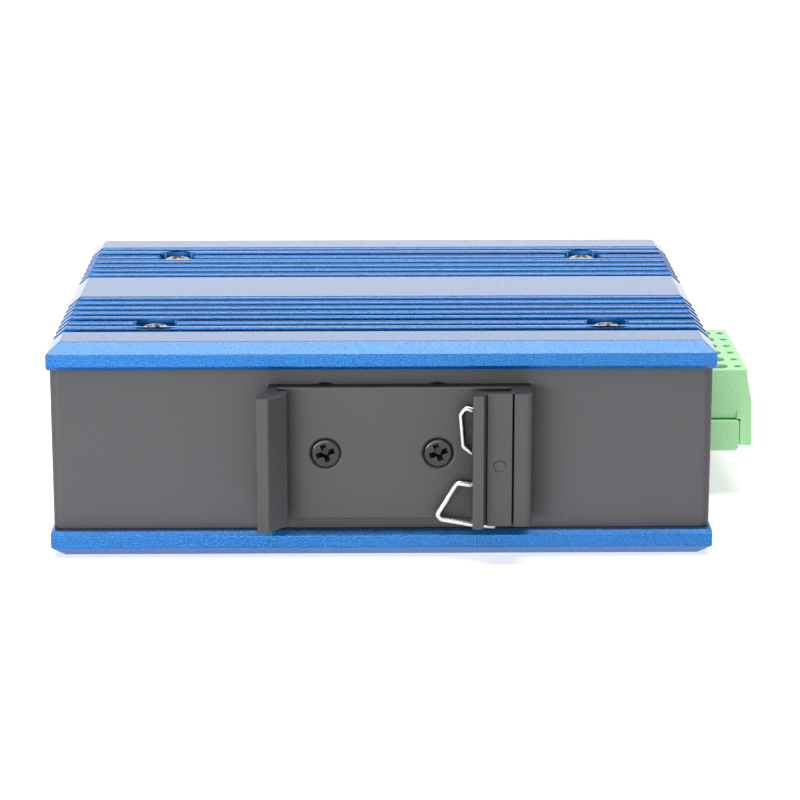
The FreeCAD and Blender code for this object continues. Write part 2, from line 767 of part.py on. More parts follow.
clip_tools = [rod((x, SHELL_REAR, z), SHANK_HOLE, f"clip_plate_thickness + {SPARE}", REAR)
              for x, z in CLIP_SCREW_SPOTS]
clip_tools += [countersink((x, CLIP_FACE, z), INWARD) for x, z in CLIP_SCREW_SPOTS]
clip_tools.append(rod((PIN_X, forward("-pin_sink"), PIN_LEVEL), "pin_radius + pin_fit",
                      f"pin_sink + cap_height + {SPARE}", REAR))
node(cut(clip, *clip_tools), "clip_plate")
node(rod((PIN_X, forward("-pin_sink"), PIN_LEVEL), "pin_radius", "pin_sink + cap_height", REAR),
     "clip_spring_pin")
node(group([flush_screw("clip_screw_length", (x, CLIP_FACE, z), REAR, CLIP_SCREW_TURN)
            for x, z in CLIP_SCREW_SPOTS]), "clip_screws")
node(group([flush_screw("rear_screw_length", (x, SHELL_REAR, z), REAR, REAR_SCREW_TURN)
            for x, z in REAR_SCREW_SPOTS]), "rear_screws")

# The threaded plate behind the rear wall, with room for the rear screws' cone ends.
nut_low = ("-clip_screw_x - nut_plate_margin", SHELL_REAR_INSIDE,
           f"{CLIP_MIDDLE} - nut_plate_margin")
nut_high = ("clip_screw_x + nut_plate_margin", f"{SHELL_REAR_INSIDE} + nut_plate_thickness",
            f"{REAR_SCREW_LEVEL} + nut_plate_margin - {SPARE}")
nut_tools = [rod((x, SHELL_REAR, z), THREAD_HOLE, f"nut_plate_thickness + {2 * SPARE}", INWARD)
             for x, z in CLIP_SCREW_SPOTS + REAR_SCREW_SPOTS]
nut_tools += [countersink((x, SHELL_REAR, z), INWARD) for x, z in REAR_SCREW_SPOTS]
node(cut(block(nut_low, nut_high), *nut_tools), "clip_nut_plate")


# ---------------------------------------------------------------- clip spring
def rounded_path(points, radius):
    """Straight runs through points, with every inner corner rounded by a tangent arc."""
    edges = []
    start = points[0]
    for before, spot, after in zip(points, points[1:], points[2:]):
        back = (before - spot).normalize()
        ahead = (after - spot).normalize()
        half = back.getAngle(ahead) / 2
        reach = min(radius / math.tan(half), 0.45 * min((before - spot).Length,
                                                        (after - spot).Length))
        enter = spot + back * reach
        leave = spot + ahead * reach
        bisector = (back + ahead).normalize()
        middle = spot + bisector * (reach / math.cos(half) - reach * math.tan(half))
        edges.append(Part.LineSegment(start, enter).toShape())
        edges.append(Part.Arc(enter, middle, leave).toShape())
        start = leave
    edges.append(Part.LineSegment(start, points[-1]).toShape())
    return Part.Wire(edges)


def spring_wire():
    """One wire: a short loop above the pin and a long slanted one below it.

    Places are measured from the pin in X and Z, and the wire lies flat in the clip's pocket.
    """
    lip = -size("lip_width") - size("slit_width") - size("cap_width") / 2
    turn = size("pin_radius") + size("pin_fit") + size("wire_radius")
    end_in = size("wire_end_in")
    crossing = lip + size("wire_crossing")
    slant = size("wire_slant")
    corner_cut = size("wire_corner")
    crown = size("wire_crown")
    short_top = size("short_loop_top")
    short_out = lip - size("short_loop_out")
    long_top = -size("long_loop_top")
    shoulder = lip - size("long_loop_shoulder")
    long_out = lip - size("long_loop_out")
    long_low = -size("long_loop_low")
    bottom = -size("long_loop_bottom")
    route = [
        (-end_in, short_top - slant), (crossing, short_top - slant),
        (short_out + corner_cut, short_top), (short_out, short_top - crown),
        (short_out + size("short_loop_lean"), size("short_loop_low")),
        (lip, size("short_loop_foot")),
        (-turn, turn), (turn, turn), (turn, -turn), (-turn, -turn),
        (crossing, long_top - slant), (shoulder + corner_cut, long_top),
        (shoulder, long_top - crown), (long_out, long_low),
        (long_out + corner_cut, long_low - corner_cut),
        (crossing, bottom), (-end_in, bottom - slant)]
    path = rounded_path([Vector(x, 0, z) for x, z in route], size("wire_bend"))
    first = path.Edges[0]
    ring = Part.Circle(first.valueAt(first.FirstParameter),
                       first.tangentAt(first.FirstParameter), size("wire_radius"))
    return path.makePipeShell([Part.Wire(ring.toShape())], True, False)


spring = document.addObject("Part::Feature", "spring")
spring.Shape = spring_wire()
place(spring, PIN_X, forward("wire_lift"), PIN_LEVEL)
node(spring, "clip_spring")

# ---------------------------------------------------------------- main board
BOARD_END = f"({SHELL_END_INSIDE} - board_end_gap)"
BOARD_REAR = f"({SHELL_REAR_INSIDE} + board_rear_gap)"
BOARD_FRONT = f"({SHELL_FRONT_INSIDE} - board_front_gap)"
JACK_FACE = f"({SHELL_FRONT} + jack_proud)"
POLE_SPOTS = [f"(terminal_y + {index - (POLES - 1) / 2} * pole_pitch)" for index in range(POLES)]
PIN_ROOT = f"({SHELL_END} - header_inside + terminal_pin_root)"
TAIL_Y = "(shield_thickness + insert_gap - jack_depth + contact_tail - contact_thickness)"

board = new_body("board")
sheet_outline = new_sketch(board, "XY_Plane", BOARD_LOW)
add_rectangle(sheet_outline, (f"-{BOARD_END}", BOARD_REAR), (BOARD_END, BOARD_FRONT))
pad(board, sheet_outline, "board_thickness")
drilling = new_sketch(board, "XY_Plane", f"{BOARD_TOP} + {SPARE}")
for spot in SCREW_CORNERS:
    add_circle(drilling, spot, SHANK_HOLE)
for y in POLE_SPOTS:
    add_circle(drilling, (f"{PIN_ROOT} + terminal_pin_width / 2", y), "0.8 * terminal_pin_width")
for x in JACK_SPOTS:
    row_half = f"({(CONTACTS - 1) / 2} * contact_pitch + contact_width)"
    add_rectangle(drilling,
                  (f"{x} - {row_half}", f"{JACK_FACE} + {TAIL_Y} - contact_thickness"),
                  (f"{x} + {row_half}", f"{JACK_FACE} + {TAIL_Y} + 2 * contact_thickness"))
    for side in SIDES:
        wall = f"({x} + {side} * (jack_width / 2 - shield_thickness / 2))"
        back = f"({JACK_FACE} - shield_tab_back)"
        add_rectangle(drilling,
                      (f"{wall} - shield_thickness", f"{back} - shield_thickness"),
                      (f"{wall} + shield_thickness",
                       f"{back} + shield_tab_width + shield_thickness"))
pocket(board, drilling, f"board_thickness + {2 * SPARE}")
node(board, "main_board")


# ---------------------------------------------------------------- ethernet jacks
def jack_shield():
    outer = block(("-jack_width / 2", "-jack_depth", "0"), ("jack_width / 2", "0", "jack_height"))
    inner = block(("shield_thickness - jack_width / 2", "shield_thickness - jack_depth",
                   f"-{SPARE}"),
                  ("jack_width / 2 - shield_thickness", "-shield_thickness",
                   "jack_height - shield_thickness"))
    mouth = block(("-mouth_width / 2", f"-shield_thickness - {SPARE}", "mouth_low"),
                  ("mouth_width / 2", f"{SPARE}", "mouth_high"))
    tabs = []
    for side in SIDES:
        centre = f"{side} * (jack_width / 2 - shield_thickness / 2)"
        tabs.append(block((f"{centre} - shield_thickness / 2", "-shield_tab_back",
                           "-board_thickness - lead_reach"),
                          (f"{centre} + shield_thickness / 2", "shield_tab_width - shield_tab_back",
                           "shield_tab_width")))
    return fuse(cut(outer, inner, mouth), *tabs)


def jack_insert():
    side_x = "(jack_width / 2 - shield_thickness - insert_gap)"
    back = "(shield_thickness + insert_gap - jack_depth)"
    solid = block((f"-{side_x}", back, "0"),
                  (side_x, "-shield_thickness - insert_gap",
                   "jack_height - shield_thickness - insert_gap"))
    hollows = []
    for width, low, high in (("socket_width", "socket_low", "socket_high"),
                             ("latch_width", "latch_low", "socket_low"),
                             ("catch_width", "catch_low", "latch_low")):
        hollows.append(block((f"-{width} / 2", "-socket_depth", low),
                             (f"{width} / 2", f"{SPARE}", high)))
    row_half = f"({(CONTACTS - 1) / 2} * contact_pitch + contact_width / 2 + comb_gap)"
    tail_back = f"({back} + contact_tail - 2 * contact_thickness - comb_gap)"
    hollows.append(block((f"-{row_half}", tail_back, "contact_level - comb_gap"),
                         (row_half, "-socket_depth", "contact_level + contact_thickness + comb_gap")))
    hollows.append(block((f"-{row_half}", tail_back, f"-{SPARE}"),
                         (row_half, f"{tail_back} + contact_thickness + 2 * comb_gap",
                          "contact_level")))
    return cut(solid, *hollows)


def jack_contacts():
    """Eight bent strips: a sloping spring end, a level run and a tail through the board."""
    body = new_body("contacts")
    body.AllowCompound = True
    tail_front = TAIL_Y
    tail_rear = f"({TAIL_Y} - contact_thickness)"
    foot = "-board_thickness - lead_reach"
    over = "contact_level + contact_thickness"
    side = new_sketch(body, "YZ_Plane",
                      f"-{(CONTACTS - 1) / 2} * contact_pitch - contact_width / 2")
    add_outline(side, [
        ("-contact_tip", "contact_tip_height"), ("-socket_depth", over), (tail_rear, over),
        (tail_rear, foot), (tail_front, foot), (tail_front, "contact_level"),
        ("-socket_depth", "contact_level"),
        ("-contact_tip", "contact_tip_height - contact_thickness")])
    repeat(body, pad(body, side, "contact_width"), "X_Axis", "contact_pitch", CONTACTS)
    return body


for number, x in enumerate(JACK_SPOTS, start=1):
    for piece, make in (("shield", jack_shield), ("insert", jack_insert),
                        ("contacts", jack_contacts)):
        node(place(make(), x, JACK_FACE, BOARD_TOP), f"port_{number}_{piece}")

# ---------------------------------------------------------------- terminal header
HEADER_REAR = f"({SHELL_END} - header_inside)"
MOUTH_X = f"({SHELL_END} + header_reach)"
HEADER_FLOOR = f"({MOUTH_X} - header_depth)"
CLAMP_X = f"({MOUTH_X} - clamp_inset)"
PIN_MIDDLE = f"({HEADER_LOW} + header_height / 2)"
half_pin = "terminal_pin_width / 2"
pins = []
for y in POLE_SPOTS:
    shaft = block((PIN_ROOT, f"{y} - {half_pin}", f"{PIN_MIDDLE} - {half_pin}"),
                  (f"{MOUTH_X} - terminal_pin_short", f"{y} + {half_pin}",
                   f"{PIN_MIDDLE} + {half_pin}"))
    tail = block((PIN_ROOT, f"{y} - {half_pin}", f"{BOARD_LOW} - lead_reach"),
                 (f"{PIN_ROOT} + terminal_pin_width", f"{y} + {half_pin}", PIN_MIDDLE))
    pins.append(fuse(shaft, tail))
terminal_pins = group(pins)
header = new_body("header")
header_side = new_sketch(header, "XZ_Plane", f"-terminal_y - {HEADER_HALF}")
add_outline(header_side, [
    (HEADER_REAR, HEADER_LOW), (f"{MOUTH_X} - header_chamfer", HEADER_LOW),
    (MOUTH_X, f"{HEADER_LOW} + header_chamfer"),
    (MOUTH_X, f"{HEADER_HIGH} - header_chamfer / 2"),
    (f"{MOUTH_X} - header_chamfer / 2", HEADER_HIGH), (HEADER_REAR, HEADER_HIGH)])
pad(header, header_side, f"2 * {HEADER_HALF}")
mouth_half = f"({HEADER_HALF} - header_wall)"
header_mouth = block((HEADER_FLOOR, f"terminal_y - {mouth_half}", f"{HEADER_LOW} + header_wall"),
                     (f"{MOUTH_X} + {SPARE}", f"terminal_y + {mouth_half}",
                      f"{HEADER_HIGH} - header_wall"))
node(cut(header, header_mouth, terminal_pins), "terminal_header")
node(terminal_pins, "terminal_pins")

# ---------------------------------------------------------------- terminal plug
PLUG_REAR = f"({SHELL_END} + plug_wall_gap)"
PLUG_TOP = f"({BOARD_TOP} + plug_height)"
PLUG_STEP = f"({HEADER_HIGH} + plug_clearance)"
WALL_IN = f"({MOUTH_X} + plug_clearance)"
TONGUE_LOW = f"({HEADER_LOW} + header_wall + tongue_clearance)"
TONGUE_HIGH = f"({HEADER_HIGH} - header_wall - tongue_clearance)"
TONGUE_REAR = f"({HEADER_FLOOR} + plug_clearance)"
ROOM_FLOOR = f"({PLUG_STEP} + clamp_room_floor)"
CAGE_LOW = f"({ROOM_FLOOR} + cage_seat)"
OPEN_LOW = f"({CAGE_LOW} + cage_base)"
OPEN_HIGH = f"({OPEN_LOW} + cage_opening)"
CAGE_HIGH = f"({OPEN_HIGH} + cage_head)"
ROOM_HIGH = f"({CAGE_HIGH} + cage_travel + cage_seat)"
HEAD_SEAT = f"({ROOM_HIGH} + clamp_seat)"
BAR_HIGH = f"({OPEN_HIGH} - bar_gap)"
BAR_LOW = f"({BAR_HIGH} - bar_thickness)"
STRAP_IN = f"({WALL_IN} + clamp_seat)"
STRAP_OUT = f"({STRAP_IN} + bar_thickness)"
half_bar = "bar_width / 2"
half_cage = "cage_width / 2"
half_entry = "entry_width / 2"


def pole_contact(y):
    """The bar through the cage, the strap down the front wall and the socket for the pin."""
    strap_near = f"{y} + {half_entry} + strap_gap"
    strap_far = f"{strap_near} + strap_width"
    socket_half = f"({half_pin} + socket_clearance + socket_wall)"
    bar = block((f"{CLAMP_X} - cage_length / 2", f"{y} - {half_bar}", BAR_LOW),
                (STRAP_OUT, f"{y} + {half_bar}", BAR_HIGH))
    arm = block((STRAP_IN, f"{y} - {half_bar}", BAR_LOW), (STRAP_OUT, strap_far, BAR_HIGH))
    strap = block((STRAP_IN, strap_near, f"{PIN_MIDDLE} - {half_pin}"),
                  (STRAP_OUT, strap_far, BAR_HIGH))
    foot = block((STRAP_IN, f"{y} - {socket_half}", f"{PIN_MIDDLE} - {half_pin}"),
                 (STRAP_OUT, strap_far, f"{PIN_MIDDLE} + {half_pin}"))
    socket = block((f"{TONGUE_REAR} + plug_clearance", f"{y} - {socket_half}",
                    f"{PIN_MIDDLE} - {socket_half}"),
                   (STRAP_OUT, f"{y} + {socket_half}", f"{PIN_MIDDLE} + {socket_half}"))
    return cut(fuse(bar, arm, strap, foot, socket), pin_room(y))


def pin_room(y):
    """The hollow that takes the header's pin, with running clearance."""
    room_half = f"({half_pin} + socket_clearance)"
    return block((f"{TONGUE_REAR} - {SPARE}", f"{y} - {room_half}", f"{PIN_MIDDLE} - {room_half}"),
                 (f"{MOUTH_X} - terminal_pin_short + plug_clearance", f"{y} + {room_half}",
                  f"{PIN_MIDDLE} + {room_half}"))


def pole_hollows(y):
    room_x = "(cage_length / 2 + cage_clearance)"
    room = block((f"{CLAMP_X} - {room_x}", f"{y} - {half_cage} - cage_clearance", ROOM_FLOOR),
                 (f"{CLAMP_X} + {room_x}", f"{y} + {half_cage} + cage_clearance", ROOM_HIGH))
    entry = block((CLAMP_X, f"{y} - {half_entry}", OPEN_LOW),
                  (f"{MOUTH_X} + plug_low_reach + {SPARE}", f"{y} + {half_entry}",
                   f"{BAR_LOW} - bar_gap"))
    neck = rod((CLAMP_X, y, CAGE_HIGH), "clamp_screw_radius + thread_clearance", "plug_height")
    shaft = rod((CLAMP_X, y, HEAD_SEAT), "clamp_head_radius + clamp_head_clearance",
                "plug_height")
    test = block((f"{CLAMP_X} + test_hole_out - test_hole_length / 2",
                  f"{y} - test_hole_width / 2", f"{PLUG_TOP} - test_hole_depth"),
                 (f"{CLAMP_X} + test_hole_out + test_hole_length / 2",
                  f"{y} + test_hole_width / 2", f"{PLUG_TOP} + {SPARE}"))
    return [room, entry, neck, shaft, test, pin_room(y)]


plug_half = f"({POLES} * pole_pitch / 2 + plug_end_wall)"
plug = new_body("plug")
plug_side = new_sketch(plug, "XZ_Plane", f"-terminal_y - {plug_half}")
low_out = f"{MOUTH_X} + plug_low_reach"
top_out = f"{MOUTH_X} + plug_top_reach"
add_outline(plug_side, [
    (PLUG_REAR, PLUG_TOP), (PLUG_REAR, PLUG_STEP), (WALL_IN, PLUG_STEP),
    (WALL_IN, TONGUE_HIGH), (TONGUE_REAR, TONGUE_HIGH), (TONGUE_REAR, TONGUE_LOW),
    (WALL_IN, TONGUE_LOW), (WALL_IN, f"{BOARD_TOP} + plug_front_bottom"),
    (low_out, f"{BOARD_TOP} + plug_front_bottom"),
    (f"{low_out} - plug_clearance", f"{PLUG_TOP} - plug_shoulder"),
    (f"{top_out} - plug_clearance", f"{PLUG_TOP} - cage_base"),
    (top_out, PLUG_TOP)])
pad(plug, plug_side, f"2 * {plug_half}")
# Both ends are relieved above the header.
reliefs = new_sketch(plug, "YZ_Plane", f"{MOUTH_X} - relief_inset")
for side in SIDES:
    end = f"terminal_y + {side} * {plug_half}"
    add_outline(reliefs, [
        (f"{end} + {side} * relief_depth", f"{PLUG_STEP} + relief_height"),
        (end, f"{PLUG_STEP} + relief_height"),
        (f"{end} - {side} * relief_depth", PLUG_STEP),
        (f"{end} - {side} * relief_depth", f"{PLUG_STEP} - plug_clearance"),
        (f"{end} + {side} * relief_depth", f"{PLUG_STEP} - plug_clearance")])
pocket(plug, reliefs, f"{MOUTH_X} - relief_inset - {PLUG_REAR} + {SPARE}")
tongue_end = f"({POLES} * pole_pitch / 2 - tongue_trim)"
trims = [block((f"{TONGUE_REAR} - {SPARE}", f"terminal_y + {near}", f"{TONGUE_LOW} - {SPARE}"),
               (WALL_IN, f"terminal_y + {far}", PLUG_STEP))
         for near, far in ((tongue_end, plug_half), (f"-{plug_half}", f"-{tongue_end}"))]
contacts = group([pole_contact(y) for y in POLE_SPOTS])
hollows = [tool for y in POLE_SPOTS for tool in pole_hollows(y)]
node(cut(cut(plug, *trims, *hollows), contacts), "terminal_plug")
node(contacts, "plug_contacts")

for number, y in enumerate(POLE_SPOTS, start=1):
    cage_block = block(("-cage_length / 2", f"-{half_cage}", "0"),
                       ("cage_length / 2", half_cage, f"{CAGE_HIGH} - {CAGE_LOW}"))
    way_in = block((f"-cage_length / 2 - {SPARE}", "-cage_opening_width / 2", "cage_base"),
                   (f"cage_length / 2 + {SPARE}", "cage_opening_width / 2",
                    "cage_base + cage_opening"))
    tapped = rod(("0", "0", "cage_base"), "clamp_screw_radius + thread_clearance", CAGE_HIGH)
    cage = cut(cage_block, way_in, tapped)
    node(place(cage, CLAMP_X, y, CAGE_LOW), f"clamp_cage_{number}")
    shank_length = f"{HEAD_SEAT} - {BAR_HIGH} - cage_seat"
    shank = rod(("0", "0", f"-({shank_length})"), "clamp_screw_radius", shank_length)
    head = rod(("0", "0", "0"), "clamp_head_radius", "clamp_head_height")
    slot = block(("-2 * clamp_head_radius", "-clamp_slot_width / 2",
                  "clamp_head_height - clamp_slot_depth"),
                 ("2 * clamp_head_radius", "clamp_slot_width / 2", f"clamp_head_height + {SPARE}"))
    node(place(cut(fuse(shank, head), slot), CLAMP_X, y, HEAD_SEAT), f"clamp_screw_{number}")

# ---------------------------------------------------------------- status lights
PIPE_REAR = f"({SHELL_FRONT} - light_back)"
pipe = []
lamps = []
for x in LIGHT_SPOTS:
    pipe.append(rod((x, f"{PIPE_REAR} - light_arm / 2", LIGHT_LEVEL), "light_radius",
                    "light_back + light_arm / 2 + light_proud", INWARD))
    pipe.append(block((f"{x} - light_arm / 2", f"{PIPE_REAR} - light_arm",
                       f"{BOARD_TOP} + lamp_height + lamp_gap"),
                      (f"{x} + light_arm / 2", PIPE_REAR, f"{LIGHT_LEVEL} + light_radius")))
    lamps.append(block((f"{x} - lamp_width / 2", f"{PIPE_REAR} - light_arm / 2 - lamp_width / 2",
                        BOARD_TOP),
                       (f"{x} + lamp_width / 2", f"{PIPE_REAR} - light_arm / 2 + lamp_width / 2",
                        f"{BOARD_TOP} + lamp_height")))
bridge = block((LIGHT_SPOTS[0], f"{PIPE_REAR} - light_arm", f"{BOARD_TOP} + light_bridge_low"),
               (LIGHT_SPOTS[-1], PIPE_REAR, f"{BOARD_TOP} + light_bridge_high"))
legs = [block((f"{x} + light_pitch / 2 - leg_width", f"{PIPE_REAR} - light_arm", BOARD_TOP),
              (f"{x} + light_pitch / 2 + leg_width", PIPE_REAR,
               f"{BOARD_TOP} + light_bridge_high")) for x in LIGHT_SPOTS[:-1]]
node(fuse(*pipe, bridge, *legs), "light_pipe")
node(group(lamps), "status_lamps")


# ---------------------------------------------------------------- parts on the board
def legged(x, y, length, width, height, legs_a_side):
    """A moulded package on the board, with flat legs along both long sides."""
    body = block((f"{x} - {length} / 2", f"{y} - {width} / 2", f"{BOARD_TOP} + leg_thickness / 2"),
                 (f"{x} + {length} / 2", f"{y} + {width} / 2", f"{BOARD_TOP} + {height}"))
    feet = []
    for index in range(legs_a_side):
        offset = f"{x} + {(index + 0.5) / legs_a_side - 0.5} * {length}"
        feet.append(block((f"{offset} - leg_width / 2", f"{y} - {width} / 2 - leg_length",
                           BOARD_TOP),
                          (f"{offset} + leg_width / 2", f"{y} + {width} / 2 + leg_length",
                           f"{BOARD_TOP} + leg_thickness")))
    return fuse(body, *feet)


JACK_REAR = f"({JACK_FACE} - jack_depth)"
for number, x in enumerate(JACK_SPOTS, start=1):
    node(legged(x, f"({JACK_REAR} - transformer_gap - transformer_width / 2)",
                "transformer_length", "transformer_width", "transformer_height", 6),
         f"line_transformer_{number}")
node(legged("controller_x", "controller_y", "controller_width", "controller_width",
            "controller_height", 4), "power_controller")

chip_low = f"({BOARD_LOW} - chip_thickness)"
half_chip = "chip_width / 2"
node(block((f"chip_x - {half_chip}", f"chip_y - {half_chip}", chip_low),
           (f"chip_x + {half_chip}", f"chip_y + {half_chip}", BOARD_LOW)), "switch_chip")
node(block((f"chip_x - {half_chip}", f"chip_y - {half_chip}", PANEL_INSIDE),
           (f"chip_x + {half_chip}", f"chip_y + {half_chip}", chip_low)), "thermal_pad")

RELAY_X = f"({BOARD_END} - relay_inset)"
RELAY_Y = (f"({JACK_REAR} - transformer_gap - transformer_width - leg_length - relay_gap"
           " - relay_length / 2)")
node(block((f"{RELAY_X} - relay_width / 2", f"{RELAY_Y} - relay_length / 2", BOARD_TOP),
           (f"{RELAY_X} + relay_width / 2", f"{RELAY_Y} + relay_length / 2",
            f"{BOARD_TOP} + relay_height")), "alarm_relay")

CAPACITOR_X = "(inductor_x + inductor_width / 2 + capacitor_gap + capacitor_radius)"
for number in (1, 2):
    y = f"capacitor_y - {number - 1} * capacitor_pitch"
    neck_end = "(capacitor_foot + capacitor_neck_width)"
    foot = rod((CAPACITOR_X, y, BOARD_TOP), "capacitor_radius", "capacitor_foot")
    neck = rod((CAPACITOR_X, y, BOARD_TOP), "capacitor_radius - capacitor_neck",
               "capacitor_height")
    can = rod((CAPACITOR_X, y, f"{BOARD_TOP} + {neck_end}"), "capacitor_radius",
              f"capacitor_height - {neck_end}")
    node(fuse(foot, neck, can), f"input_capacitor_{number}")

half_coil = "inductor_width / 2"
node(fuse(block((f"inductor_x - {half_coil}", f"inductor_y - {half_coil}", BOARD_TOP),
                (f"inductor_x + {half_coil}", f"inductor_y + {half_coil}",
                 f"{BOARD_TOP} + inductor_base")),
          rod(("inductor_x", "inductor_y", BOARD_TOP), "inductor_core_radius",
              "inductor_height")), "power_inductor")

crystal_half = "(crystal_length - crystal_width) / 2"
node(fuse(block((f"crystal_x - {crystal_half}", "crystal_y - crystal_width / 2", BOARD_TOP),
                (f"crystal_x + {crystal_half}", "crystal_y + crystal_width / 2",
                 f"{BOARD_TOP} + crystal_height")),
          *[rod((f"crystal_x + {side} * {crystal_half}", "crystal_y", BOARD_TOP),
                "crystal_width / 2", "crystal_height") for side in SIDES]), "clock_crystal")

ALONG = Vector(1, 0, 0)
FUSE_X = f"({BOARD_END} - fuse_inset)"
FUSE_AXIS = f"({BOARD_TOP} + fuse_radius + fuse_cap_lip)"
FUSE_Y = f"({RELAY_Y} - relay_length / 2 - fuse_gap - fuse_radius - fuse_cap_lip)"
tube = rod((f"{FUSE_X} - fuse_length / 2", FUSE_Y, FUSE_AXIS), "fuse_radius", "fuse_length",
           ALONG)
caps = [rod((f"{FUSE_X} + {side} * (fuse_length - fuse_cap) / 2 - fuse_cap / 2", FUSE_Y,
             FUSE_AXIS), "fuse_radius + fuse_cap_lip", "fuse_cap", ALONG) for side in SIDES]
node(fuse(tube, *caps), "input_fuse")

# ---------------------------------------------------------------- check and write
document.recompute()
for item in document.Objects:
    faults = {"Invalid", "Error"} & set(item.State)
    if faults:
        raise RuntimeError(f"{item.Name} ({item.Label}) is {sorted(faults)}")
for item in nodes:
    if item.Shape.isNull() or not item.Shape.isValid() or not item.Shape.Solids:
        raise RuntimeError(f"{item.Label} has no valid solid")
os.makedirs("parts", exist_ok=True)
for item in nodes:
    item.Shape.exportStep(f"parts/{item.Label}.step")
print(f"{len(nodes)} nodes, {sum(len(item.Shape.Solids) for item in nodes)} solids")
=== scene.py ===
import json
import math

import bmesh
import bpy
from mathutils import Matrix, Vector


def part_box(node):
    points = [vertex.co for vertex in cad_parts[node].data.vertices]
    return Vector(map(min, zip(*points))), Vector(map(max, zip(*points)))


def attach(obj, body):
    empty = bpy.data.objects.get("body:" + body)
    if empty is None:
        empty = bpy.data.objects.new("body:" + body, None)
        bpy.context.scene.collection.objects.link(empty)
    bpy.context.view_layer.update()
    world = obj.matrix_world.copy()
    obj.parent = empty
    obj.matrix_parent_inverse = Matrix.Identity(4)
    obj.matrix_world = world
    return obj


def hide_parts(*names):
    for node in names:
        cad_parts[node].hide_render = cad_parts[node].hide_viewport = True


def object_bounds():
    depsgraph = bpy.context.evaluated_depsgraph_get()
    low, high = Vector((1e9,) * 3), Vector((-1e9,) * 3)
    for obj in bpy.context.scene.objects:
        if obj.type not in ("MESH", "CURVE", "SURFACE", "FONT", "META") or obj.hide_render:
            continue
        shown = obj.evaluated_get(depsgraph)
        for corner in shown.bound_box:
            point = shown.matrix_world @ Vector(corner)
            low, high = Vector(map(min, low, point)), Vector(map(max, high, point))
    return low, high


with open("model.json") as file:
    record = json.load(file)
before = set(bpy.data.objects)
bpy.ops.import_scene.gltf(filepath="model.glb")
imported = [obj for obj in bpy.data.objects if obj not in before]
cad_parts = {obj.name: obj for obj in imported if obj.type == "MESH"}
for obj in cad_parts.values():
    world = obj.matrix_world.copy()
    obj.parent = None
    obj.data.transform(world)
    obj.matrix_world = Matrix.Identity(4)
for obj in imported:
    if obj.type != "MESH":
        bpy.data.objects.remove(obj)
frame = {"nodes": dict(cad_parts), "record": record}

CAD_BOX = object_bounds()
MM = 0.001
BODY_OF = {node: body for body, nodes in frame["record"]["behaviour"]["bodies"].items()
           for node in nodes}
SLOT_OF = {part["node"]: part["material_slot"] for part in frame["record"]["subparts"]}


# ---------------------------------------------------------------- shader building
EDGE_SAMPLES = 4
FLAT_COSINE = 0.98
WORN_COSINE = 0.88
HOLLOW_SAMPLES = 6
CLOSED_SHARE = 0.35
OPEN_SHARE = 0.95


